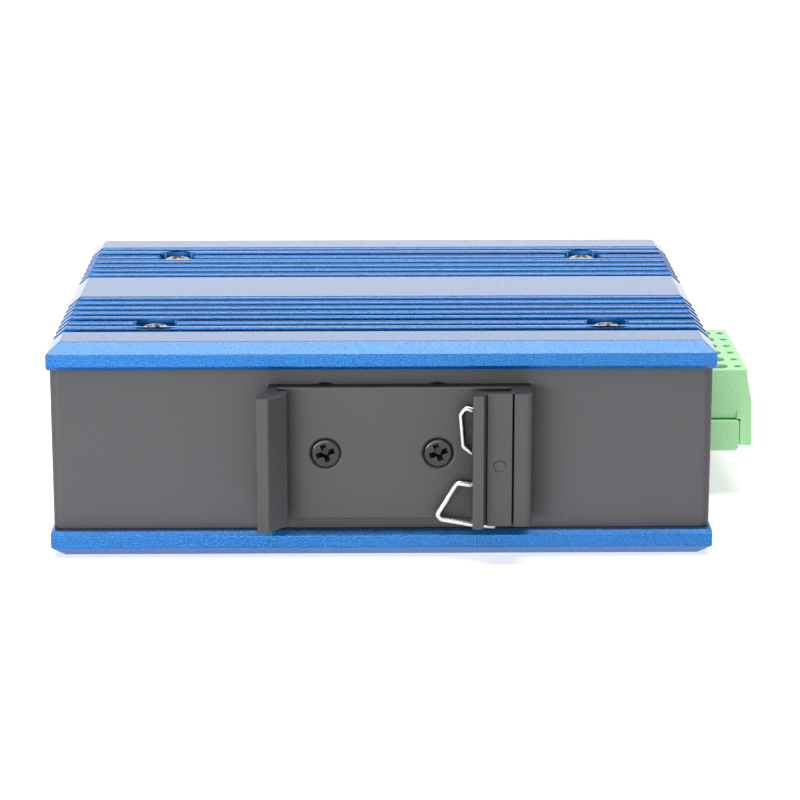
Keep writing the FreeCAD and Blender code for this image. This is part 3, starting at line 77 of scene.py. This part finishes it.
class Shader:
    """A node material built up with short calls."""

    def __init__(self, name, **inputs):
        self.material = bpy.data.materials.new(name)
        self.material.use_nodes = True
        self.tree = self.material.node_tree
        self.tree.nodes.clear()
        self.out = self.tree.nodes.new("ShaderNodeOutputMaterial")
        self.surface = self.tree.nodes.new("ShaderNodeBsdfPrincipled")
        self.link(self.surface.outputs[0], self.out.inputs["Surface"])
        for key, value in inputs.items():
            self.surface.inputs[key.replace("_", " ")].default_value = value
        place = self.tree.nodes.new("ShaderNodeTexCoord")
        self.place = place.outputs["Object"]

    def link(self, start, end):
        self.tree.links.new(start, end)

    def node(self, kind, **inputs):
        made = self.tree.nodes.new("ShaderNode" + kind)
        for key, value in inputs.items():
            socket = made.inputs[key.replace("_", " ")]
            if isinstance(value, bpy.types.NodeSocket):
                self.link(value, socket)
            else:
                socket.default_value = value
        return made

    def noise(self, size, detail):
        """Noise whose features are about a size in metres."""
        mapping = self.node("Mapping", Vector=self.place)
        mapping.inputs["Scale"].default_value = [1 / size] * 3
        made = self.node("TexNoise", Vector=mapping.outputs[0], Scale=1.0, Detail=detail)
        return made.outputs["Fac"]

    def range(self, value, low, high, start, end):
        """A value carried from low...high to start...end."""
        made = self.node("MapRange", Value=value)
        for key, number in zip(("From Min", "From Max", "To Min", "To Max"),
                               (low, high, start, end)):
            made.inputs[key].default_value = number
        return made.outputs["Result"]

    def ramp(self, value, *stops):
        """A colour by a value, from stops of (place, colour)."""
        made = self.node("ValToRGB", Fac=value)
        while len(made.color_ramp.elements) < len(stops):
            made.color_ramp.elements.new(0.5)
        for element, (at, colour) in zip(made.color_ramp.elements, stops):
            element.position = at
            element.color = (*colour, 1)
        return made.outputs["Color"]

    def bump(self, height, strength, distance):
        """Relief from a height, on top of any relief that is there."""
        made = self.node("Bump", Height=height, Strength=strength, Distance=distance)
        previous = self.surface.inputs["Normal"]
        if previous.is_linked:
            self.link(previous.links[0].from_socket, made.inputs["Normal"])
        self.link(made.outputs[0], previous)

    def set(self, **sockets):
        """Link sockets to the surface's inputs of the same names."""
        for key, socket in sockets.items():
            self.link(socket, self.surface.inputs[key.replace("_", " ")])

    def mix(self, amount, first, second):
        """Mix two colours by a share, each a colour or a socket."""
        made = self.tree.nodes.new("ShaderNodeMix")
        made.data_type = "RGBA"
        for index, value in ((0, amount), (6, first), (7, second)):
            socket = made.inputs[index]
            if isinstance(value, bpy.types.NodeSocket):
                self.link(value, socket)
            else:
                socket.default_value = value if index == 0 else (*value, 1)
        return made.outputs[2]

    def edges(self, radius):
        """1 near sharp edges, 0 on flat faces, for wear."""
        rounded = self.node("Bevel", Radius=radius)
        rounded.samples = EDGE_SAMPLES
        flat = self.node("NewGeometry")
        cosine = self.tree.nodes.new("ShaderNodeVectorMath")
        cosine.operation = "DOT_PRODUCT"
        self.link(rounded.outputs[0], cosine.inputs[0])
        self.link(flat.outputs["Normal"], cosine.inputs[1])
        return self.range(cosine.outputs["Value"], FLAT_COSINE, WORN_COSINE, 0.0, 1.0)

    def painted_hollow_shade(self, reach):
        """1 in tight hollows and along seams, 0 on open faces: a mask for painted shade."""
        open_share = self.node("AmbientOcclusion", Distance=reach)
        open_share.samples = HOLLOW_SAMPLES
        return self.range(open_share.outputs["AO"], CLOSED_SHARE, OPEN_SHARE, 1.0, 0.0)


def shade(colour, by):
    """A colour made darker or lighter by a factor."""
    return tuple(min(1.0, part * by) for part in colour)


def anodised():
    """Blue anodised aluminium: a tinted metal with a fine grain, under a clear coat."""
    made = Shader("blue_anodised", Metallic=0.5, IOR=1.25, Coat_Weight=1.0, Coat_IOR=1.37,
                  Coat_Roughness=0.2)
    blue = (0.002, 0.112, 0.355)
    worn_blue = (0.05, 0.25, 0.6)
    grain = made.noise(0.00028, 2.0)
    cloud = made.noise(0.006, 3.0)
    base = made.ramp(grain, (0.32, shade(blue, 0.6)), (0.50, blue), (0.68, shade(blue, 1.5)))
    tone = made.range(cloud, 0.3, 0.7, 0.0, 0.12)
    toned = made.mix(tone, base, shade(blue, 0.8))
    worn = made.mix(made.edges(0.0001), toned, worn_blue)
    made.set(Base_Color=worn, Roughness=made.range(grain, 0.3, 0.7, 0.26, 0.38))
    made.bump(grain, 0.9, 0.00013)
    return made.material


def black_coat(name, colour, size, rough=(0.5, 0.64), strength=0.25, reach=0.005):
    """A black finish that wears lighter at its edges, with painted shade that darkens it within
    reach of a corner.
    """
    made = Shader(name, IOR=1.5)
    grain = made.noise(size, 3.0)
    cloud = made.noise(0.02, 2.0)
    base = made.ramp(grain, (0.3, shade(colour, 0.85)), (0.7, shade(colour, 1.15)))
    toned = made.mix(made.range(cloud, 0.35, 0.65, 0.0, 0.3), base, shade(colour, 0.85))
    worn = made.mix(made.edges(0.0002), toned, shade(colour, 2.0))
    # Within reach of corners and seams the colour goes to nearly black: painted shade.
    made.set(Base_Color=made.mix(made.painted_hollow_shade(reach), worn, shade(colour, 0.12)),
             Roughness=made.range(grain, 0.3, 0.7, *rough))
    made.bump(grain, strength, 0.00004)
    return made.material


def metal(name, colour, rough=(0.25, 0.4), size=0.0006):
    """Bare metal with a fine grain, with painted shade in its recesses."""
    made = Shader(name, Metallic=1.0)
    grain = made.noise(size, 3.0)
    unshaded = made.ramp(grain, (0.3, shade(colour, 0.85)), (0.7, colour))
    # In recesses the colour goes to nearly black: painted shade.
    made.set(Base_Color=made.mix(made.painted_hollow_shade(0.0012), unshaded, shade(colour, 0.08)),
             Roughness=made.range(grain, 0.3, 0.7, *rough))
    made.bump(grain, 0.15, 0.00003)
    return made.material


def plastic(name, colour, rough=(0.35, 0.5), size=0.0005, subsurface=0.0):
    """Moulded plastic with a fine grain, a faint cloud and paler edges."""
    made = Shader(name, IOR=1.5)
    grain = made.noise(size, 3.0)
    cloud = made.noise(0.008, 2.0)
    base = made.ramp(grain, (0.3, shade(colour, 0.94)), (0.7, shade(colour, 1.04)))
    toned = made.mix(made.range(cloud, 0.35, 0.65, 0.0, 0.4), base, shade(colour, 0.93))
    made.set(Base_Color=made.mix(made.edges(0.0002), toned, shade(colour, 1.2)),
             Roughness=made.range(grain, 0.3, 0.7, *rough))
    made.bump(grain, 0.15, 0.00004)
    if subsurface:
        made.surface.inputs["Subsurface Weight"].default_value = subsurface
        made.surface.inputs["Subsurface Radius"].default_value = (0.6, 1.0, 0.6)
        made.surface.inputs["Subsurface Scale"].default_value = 0.001
    return made.material


MATERIALS = {
    "blue_anodised": anodised(),
    # Each black coat darkens to painted shade within its reach of a corner: 5 mm for the housing,
    # 14 mm for the clip, 2 mm for the screws.
    "black_housing": black_coat("black_housing", (0.057, 0.0545, 0.0605), 0.0005),
    "black_clip": black_coat("black_clip", (0.043, 0.0415, 0.0450), 0.0003, (0.42, 0.6), 0.6,
                             0.014),
    "black_screw": black_coat("black_screw", (0.018, 0.018, 0.020), 0.0004, (0.10, 0.2), 0.15,
                              0.002),
    "steel_screw": metal("steel_screw", (0.55, 0.54, 0.54), (0.2, 0.32)),
    "spring_steel": metal("spring_steel", (0.66, 0.64, 0.60), (0.15, 0.3), 0.0003),
    "zinc_steel": metal("zinc_steel", (0.62, 0.64, 0.66), (0.25, 0.4)),
    "terminal_green": plastic("terminal_green", (0.50, 0.95, 0.49), (0.35, 0.48), 0.0006, 0.15),
    "board_green": plastic("board_green", (0.02, 0.16, 0.06), (0.25, 0.4)),
    "tinned_pin": metal("tinned_pin", (0.75, 0.74, 0.70), (0.25, 0.4)),
    "contact_gold": metal("contact_gold", (0.90, 0.66, 0.25), (0.18, 0.3)),
    "jack_shield": metal("jack_shield", (0.70, 0.70, 0.68), (0.25, 0.4)),
    "jack_black": plastic("jack_black", (0.02, 0.02, 0.021)),
    "clear_light": plastic("clear_light", (0.80, 0.84, 0.85), (0.1, 0.2)),
    "chip_black": plastic("chip_black", (0.022, 0.022, 0.024)),
    "pad_grey": plastic("pad_grey", (0.35, 0.38, 0.42), (0.6, 0.8)),
    "capacitor_sleeve": plastic("capacitor_sleeve", (0.02, 0.025, 0.05), (0.2, 0.3)),
    "ferrite": plastic("ferrite", (0.07, 0.07, 0.075), (0.5, 0.7)),
    "crystal_can": metal("crystal_can", (0.78, 0.78, 0.76), (0.2, 0.3)),
    "lamp_white": plastic("lamp_white", (0.82, 0.82, 0.76), (0.3, 0.4)),
    "fuse_body": plastic("fuse_body", (0.66, 0.6, 0.45), (0.3, 0.4)),
}

for label, item in frame["nodes"].items():
    for spot in item.material_slots:
        spot.material = MATERIALS[SLOT_OF[label]]


# ---------------------------------------------------------------- pieces
WELD = 0.001 * MM
FLAT_ANGLE = math.radians(1.0)
SHARP_ANGLE = math.radians(30)
HEAD_RADIUS = 2.75 * MM
POCKET_RADIUS = 3.5 * MM
PANEL_SCREW_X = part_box("upper_panel_screws")[1].x - HEAD_RADIUS
PANEL_SCREW_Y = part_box("upper_panel_screws")[1].y - HEAD_RADIUS
PANEL_CUTS = [side * (PANEL_SCREW_X + off * MM) for side in (-1, 1)
              for off in (-34, -20, -4.2, 4.2, 5.5)]
FIN_REACH = 36 * MM
FIN_BEVEL = 0.6 * MM
NEAR_CHAMFER = 0.32
RIM_SHARE = 0.2
POCKET_SHARE = 0.6
POCKET_MARGIN = 1.6 * MM
WIRE_GROWTH = 0.1 * MM


def piece(name, mesh, *nodes):
    """Put a mesh in the scene for the CAD nodes that it stands for."""
    made = bpy.data.objects.new(name, mesh)
    bpy.context.scene.collection.objects.link(made)
    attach(made, BODY_OF[nodes[0]])
    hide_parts(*nodes)
    mesh.materials.clear()
    mesh.materials.append(MATERIALS[SLOT_OF[nodes[0]]])
    return made


def softened(label, width, share=lambda edge: 1.0, flatten=True, profile=0.5, cuts=()):
    """A copy of a CAD node with its sharp edges rounded, each by a share of the width.

    The cuts are places along X where long faces are divided, which keeps the shading of
    their corners near the corners.
    """
    form = bmesh.new()
    form.from_mesh(frame["nodes"][label].data)
    bmesh.ops.remove_doubles(form, verts=form.verts, dist=WELD)
    if flatten:
        bmesh.ops.dissolve_limit(form, angle_limit=FLAT_ANGLE, verts=form.verts,
                                 edges=form.edges)
    for place in cuts:
        bmesh.ops.bisect_plane(form, geom=[*form.verts, *form.edges, *form.faces],
                               dist=WELD, plane_co=(place, 0, 0), plane_no=(1, 0, 0))
    rounding = form.edges.layers.float.new("bevel_weight_edge")
    for edge in form.edges:
        if edge.calc_face_angle(0.0) > SHARP_ANGLE:
            edge[rounding] = share(edge)
    for face in form.faces:
        face.smooth = True
        face.material_index = 0
    mesh = bpy.data.meshes.new(label + "_soft")
    form.to_mesh(mesh)
    form.free()
    made = piece(label + "_soft", mesh, label)
    if width:
        bevel = made.modifiers.new("edges", "BEVEL")
        bevel.width = width
        bevel.segments = 3
        bevel.profile = profile
        bevel.limit_method = "WEIGHT"
        bevel.use_clamp_overlap = False
        bevel.face_strength_mode = "FSTR_ALL"
        evened = made.modifiers.new("evened", "WEIGHTED_NORMAL")
        evened.use_face_influence = True
        evened.weight = 100
    return made


def fin_crest(edge):
    """The share of a panel's bevel: all along the fins' crests, less by pockets and rims."""
    one, other = (vertex.co for vertex in edge.verts)
    low, high = CAD_BOX
    along = abs(other.x - one.x) > 0.9 * (other - one).length
    outside = min(abs(one.z - low.z), abs(one.z - high.z)) < 0.1 * MM
    if not along or not outside or abs(one.y) > FIN_REACH:
        return RIM_SHARE
    by_pocket = abs(abs(abs(one.y) - PANEL_SCREW_Y) - POCKET_RADIUS) < POCKET_MARGIN
    return POCKET_SHARE if by_pocket else 1.0


for label in ("upper_side_panel", "lower_side_panel"):
    softened(label, FIN_BEVEL, fin_crest, profile=NEAR_CHAMFER, cuts=PANEL_CUTS)
for label, width in (("housing_shell", 0.15), ("clip_plate", 0.2), ("terminal_header", 0.12),
                     ("terminal_plug", 0.15)):
    softened(label, width * MM)

# ---------------------------------------------------------------- screws
AROUND = 40
PAN_HEIGHT = 2.0 * MM
PAN_DOME = 1.2 * MM
DOME_STEPS = 9
DOME_POWER = 0.8
CONE_HEIGHT = 1.25 * MM
SHANK_RADIUS = 1.5 * MM
THREAD_PITCH = 0.5 * MM
THREAD_DEPTH = 0.25 * MM
STEPS_A_TURN = 6
NECK = 0.3 * MM
TIP_TAPER = 0.35 * MM
CROSS_SPAN = 3.5 * MM
CROSS_WIDTH = 1.0 * MM
CROSS_DEPTH = 1.35 * MM
CUTTER_RISE = 0.4 * MM
CUTTER_FLARE = 1.1
FLOOR_REACH = 0.18
FLOOR_HALF_WIDTH = 0.27
SHARP_SHADING = math.radians(35)
CLAMP_HEAD = 1.55 * MM
CLAMP_HEAD_HEIGHT = 0.8 * MM
CLAMP_RIM = 0.15 * MM
CLAMP_RADIUS = 1.25 * MM
CLAMP_TIP = 0.2 * MM
CLAMP_TIP_TAPER = 0.3 * MM
SLOT_WIDTH = 0.6 * MM
SLOT_DEPTH = 0.5 * MM


def solids(label):
    """The lowest and highest corner of each solid of a CAD node."""
    form = bmesh.new()
    form.from_mesh(frame["nodes"][label].data)
    bmesh.ops.remove_doubles(form, verts=form.verts, dist=WELD)
    left = set(form.verts)
    boxes = []
    while left:
        near = [left.pop()]
        found = []
        while near:
            vertex = near.pop()
            found.append(vertex.co.copy())
            for edge in vertex.link_edges:
                other = edge.other_vert(vertex)
                if other in left:
                    left.remove(other)
                    near.append(other)
        boxes.append(tuple(Vector([pick(spot[axis] for spot in found) for axis in range(3)])
                           for pick in (min, max)))
    form.free()
    return sorted(boxes, key=lambda box: tuple(round(part, 5) for part in box[0]))


def revolved(rings):
    """A closed form about Z from rings of (radius, height), each a number or one per angle."""
    form = bmesh.new()
    made = []
    for radius, height in rings:
        row = []
        for step in range(AROUND):
            angle = 2 * math.pi * step / AROUND
            reach = radius(angle) if callable(radius) else radius
            row.append(form.verts.new((reach * math.cos(angle), reach * math.sin(angle), height)))
        made.append(row)
    for above, below in zip(made, made[1:]):
        for step in range(AROUND):
            after = (step + 1) % AROUND
            form.faces.new((above[step], below[step], below[after], above[after]))
    form.faces.new(made[0])
    form.faces.new(made[-1][::-1])
    bmesh.ops.recalc_face_normals(form, faces=form.faces)
    return form


def thread_rings(radius, top, bottom):
    """Rings of a helical thread from top down to bottom."""
    count = round((top - bottom) / (THREAD_PITCH / STEPS_A_TURN))
    for step in range(count + 1):
        height = top + (bottom - top) * step / count
        turns = height / THREAD_PITCH
        yield (lambda angle, turns=turns: radius - THREAD_DEPTH * abs(
            2 * ((turns - angle / (2 * math.pi)) % 1) - 1)), height


def pan_rings():
    """A domed head, from its crown to the underside of its rim."""
    for step in range(1, DOME_STEPS):
        slope = math.pi / 2 * step / DOME_STEPS
        yield (HEAD_RADIUS * math.sin(slope) ** DOME_POWER,
               -PAN_DOME * (1 - math.cos(slope) ** DOME_POWER))
    yield HEAD_RADIUS, -PAN_DOME
    yield HEAD_RADIUS, -PAN_HEIGHT


def flush_rings():
    """A countersunk head with a soft rim, a little smaller than its seat."""
    for inset, depth in ((0.65, 0.0), (0.45, 0.05), (0.36, 0.15), (0.35, 0.40)):
        yield HEAD_RADIUS - inset * MM, -depth * MM
    yield SHANK_RADIUS, -CONE_HEIGHT


def cross_cutter(span, width, depth):
    """A four-winged recess that narrows to its floor."""
    form = bmesh.new()
    rims = []
    for height, reach, half in (
            (CUTTER_RISE, span / 2 * CUTTER_FLARE, width / 2 * CUTTER_FLARE),
            (-depth, span * FLOOR_REACH, width * FLOOR_HALF_WIDTH)):
        corners = []
        for quarter in range(4):
            turn = Matrix.Rotation(quarter * math.pi / 2, 3, "Z")
            for spot in ((half, -half, height), (reach, -half, height), (reach, half, height)):
                corners.append(form.verts.new(turn @ Vector(spot)))
        rims.append(corners)
    form.faces.new(rims[0])
    form.faces.new(rims[1][::-1])
    for step in range(12):
        after = (step + 1) % 12
        form.faces.new((rims[0][step], rims[1][step], rims[1][after], rims[0][after]))
    bmesh.ops.triangulate(form, faces=[face for face in form.faces if len(face.verts) > 4])
    bmesh.ops.recalc_face_normals(form, faces=form.faces)
    return form


def slot_cutter(length, width, depth):
    """A straight slot that runs out at both sides."""
    form = bmesh.new()
    bmesh.ops.create_cube(form, size=1, matrix=Matrix.Diagonal((length, width, 2 * depth, 1)))
    return form


def carved(form, cutter):
    """The mesh of a form with a cutter taken out of it."""
    helpers = []
    for part in (form, cutter):
        mesh = bpy.data.meshes.new("helper")
        part.to_mesh(mesh)
        part.free()
        helpers.append(bpy.data.objects.new("helper", mesh))
        bpy.context.scene.collection.objects.link(helpers[-1])
    cut = helpers[0].modifiers.new("cut", "BOOLEAN")
    cut.operation = "DIFFERENCE"
    cut.solver = "EXACT"
    cut.object = helpers[1]
    graph = bpy.context.evaluated_depsgraph_get()
    mesh = bpy.data.meshes.new_from_object(helpers[0].evaluated_get(graph))
    for helper in helpers:
        bpy.data.objects.remove(helper)
    return mesh


def screws(label, out, build, turn):
    """Stand a modelled screw in the place of each solid of a CAD node."""
    whole = bmesh.new()
    for index, (low, high) in enumerate(solids(label)):
        middle = (low + high) / 2
        way = Vector(out(middle))
        span = high - low
        length = abs(span.dot(way))
        crest = middle + way * length / 2
        mesh = build(length)
        facing = way.to_track_quat("Z", "X" if abs(way.y) > 0.5 else "Y").to_matrix().to_4x4()
        mesh.transform(Matrix.Translation(crest) @ facing
                       @ Matrix.Rotation(math.radians(turn(index)), 4, "Z"))
        whole.from_mesh(mesh)
        bpy.data.meshes.remove(mesh)
    mesh = bpy.data.meshes.new(label + "_cut")
    whole.to_mesh(mesh)
    whole.free()
    mesh.shade_smooth()
    mesh.set_sharp_from_angle(angle=SHARP_SHADING)
    return piece(label + "_cut", mesh, label)


def cross_screw(length, head, neck):
    """A screw with a cross recess, under a head of the given rings."""
    rings = [*head(), *thread_rings(SHANK_RADIUS, -neck - NECK, -length + NECK),
             (SHANK_RADIUS - TIP_TAPER, -length)]
    return carved(revolved(rings), cross_cutter(CROSS_SPAN, CROSS_WIDTH, CROSS_DEPTH))


def pan_screw(length):
    return cross_screw(length, pan_rings, PAN_HEIGHT)


def flush_screw(length):
    return cross_screw(length, flush_rings, CONE_HEIGHT)


def clamp_screw(length):
    """A slotted screw of a terminal's clamp."""
    rings = [(CLAMP_HEAD - CLAMP_RIM, 0), (CLAMP_HEAD, -CLAMP_RIM),
             (CLAMP_HEAD, -CLAMP_HEAD_HEIGHT), (CLAMP_RADIUS, -CLAMP_HEAD_HEIGHT),
             *thread_rings(CLAMP_RADIUS, -CLAMP_HEAD_HEIGHT, -length + CLAMP_TIP),
             (CLAMP_RADIUS - CLAMP_TIP_TAPER, -length)]
    return carved(revolved(rings), slot_cutter(4 * CLAMP_HEAD, SLOT_WIDTH, SLOT_DEPTH))


# The drawn wire of the clip's spring is rounder and a little fuller than its swept solid.
wire = softened("clip_spring", 0, flatten=False)
fuller = wire.modifiers.new("fuller", "DISPLACE")
fuller.strength = WIRE_GROWTH
fuller.mid_level = 0

screws("upper_panel_screws", lambda middle: (0, 0, 1), pan_screw, lambda index: 20 + 37 * index)
screws("lower_panel_screws", lambda middle: (0, 0, -1), pan_screw, lambda index: 15 + 41 * index)
screws("clip_screws", lambda middle: (0, -1, 0), flush_screw, lambda index: 18)
screws("rear_screws", lambda middle: (0, -1, 0), flush_screw, lambda index: 40)
screws("front_panel_screws", lambda middle: (math.copysign(1, middle.x), 0, 0), flush_screw,
       lambda index: 30)
for number in range(1, 7):
    screws(f"clamp_screw_{number}", lambda middle: (0, 0, 1), clamp_screw,
           lambda index: 25 * number)

# ---------------------------------------------------------------- stage
FLOOR_HALF = 3.0
FADE_NEAR = 0.08
FADE_FAR = 0.7
GLOW_NEAR = 0.58
GLOW_FAR = 0.9
DAYLIGHT = 0.25


def white_to_the_eye(tree, shader, out, strength):
    """Add white light that only camera, glossy and transmission rays see."""
    rays = tree.nodes.new("ShaderNodeLightPath")
    seen = rays.outputs["Is Camera Ray"]
    for key in ("Is Glossy Ray", "Is Transmission Ray"):
        either = tree.nodes.new("ShaderNodeMath")
        either.operation = "MAXIMUM"
        tree.links.new(seen, either.inputs[0])
        tree.links.new(rays.outputs[key], either.inputs[1])
        seen = either.outputs[0]
    amount = tree.nodes.new("ShaderNodeMath")
    amount.operation = "MULTIPLY"
    tree.links.new(seen, amount.inputs[0])
    if isinstance(strength, bpy.types.NodeSocket):
        tree.links.new(strength, amount.inputs[1])
    else:
        amount.inputs[1].default_value = strength
    glow = tree.nodes.new("ShaderNodeEmission")
    tree.links.new(amount.outputs[0], glow.inputs["Strength"])
    both = tree.nodes.new("ShaderNodeAddShader")
    tree.links.new(shader.outputs[0], both.inputs[0])
    tree.links.new(glow.outputs[0], both.inputs[1])
    tree.links.new(both.outputs[0], out.inputs["Surface"])


floor_mesh = bpy.data.meshes.new("floor")
floor_mesh.from_pydata([(-FLOOR_HALF, -FLOOR_HALF, 0), (FLOOR_HALF, -FLOOR_HALF, 0),
                        (FLOOR_HALF, FLOOR_HALF, 0), (-FLOOR_HALF, FLOOR_HALF, 0)],
                       [], [(0, 1, 2, 3)])
floor = bpy.data.objects.new("floor", floor_mesh)
bpy.context.scene.collection.objects.link(floor)
floor_material = bpy.data.materials.new("floor")
floor_material.use_nodes = True
floor_tree = floor_material.node_tree
floor_tree.nodes.clear()
floor_out = floor_tree.nodes.new("ShaderNodeOutputMaterial")
paper = floor_tree.nodes.new("ShaderNodeBsdfDiffuse")
paper.inputs["Color"].default_value = (0.86, 0.86, 0.87, 1)
spot = floor_tree.nodes.new("ShaderNodeTexCoord")
reach = floor_tree.nodes.new("ShaderNodeVectorMath")
reach.operation = "LENGTH"
floor_tree.links.new(spot.outputs["Object"], reach.inputs[0])
fade = floor_tree.nodes.new("ShaderNodeMapRange")
for key, number in (("From Min", FADE_NEAR), ("From Max", FADE_FAR), ("To Min", GLOW_NEAR),
                    ("To Max", GLOW_FAR)):
    fade.inputs[key].default_value = number
floor_tree.links.new(reach.outputs["Value"], fade.inputs["Value"])
white_to_the_eye(floor_tree, paper, floor_out, fade.outputs["Result"])
floor_mesh.materials.append(floor_material)

world = bpy.data.worlds.new("studio")
bpy.context.scene.world = world
world.use_nodes = True
world.node_tree.nodes.clear()
world_out = world.node_tree.nodes.new("ShaderNodeOutputWorld")
sky = world.node_tree.nodes.new("ShaderNodeBackground")
sky.inputs["Color"].default_value = (1, 1, 1, 1)
sky.inputs["Strength"].default_value = DAYLIGHT
white_to_the_eye(world.node_tree, sky, world_out, 1.0 - DAYLIGHT)


def softbox(name, place, target, width, height, power):
    """A rectangular lamp that faces a target, in metres and watts."""
    light = bpy.data.lights.new(name, "AREA")
    light.shape = "RECTANGLE"
    light.size = width
    light.size_y = height
    light.energy = power
    lamp = bpy.data.objects.new(name, light)
    lamp.location = place
    lamp.rotation_euler = (Vector(target) - Vector(place)).to_track_quat("-Z", "Y").to_euler()
    bpy.context.scene.collection.objects.link(lamp)


softbox("overhead", (0.0, -0.12, 1.2), (0, 0, 0), 1.1, 0.45, 12.0)
softbox("back", (-0.5, 1.3, 0.35), (0, 0, 0.03), 2.0, 0.6, 1.5)
softbox("front_left", (-0.75, -1.1, 0.15), (0, 0, 0.02), 0.8, 0.3, 5.0)
softbox("front", (-0.5, -1.35, 0.16), (0, 0, 0.02), 1.2, 0.3, 13.5)
softbox("front_right", (0.8, -1.2, 0.15), (0, 0, 0.02), 0.6, 0.3, 0.6)

# ---------------------------------------------------------------- camera
YAW = math.radians(0.71)
PITCH = math.radians(13.57)

camera_data = bpy.data.cameras.new("camera")
camera_data.sensor_width = 36.0
camera_data.lens = 119.39
camera_data.shift_y = -0.1
camera = bpy.data.objects.new("camera", camera_data)
camera.location = (-2.3 * MM, -479.6 * MM, 147.3 * MM)
camera.rotation_euler = (math.pi / 2 - PITCH, 0, -YAW)
bpy.context.scene.collection.objects.link(camera)
bpy.context.scene.camera = camera

bpy.context.scene.view_settings.view_transform = "Standard"
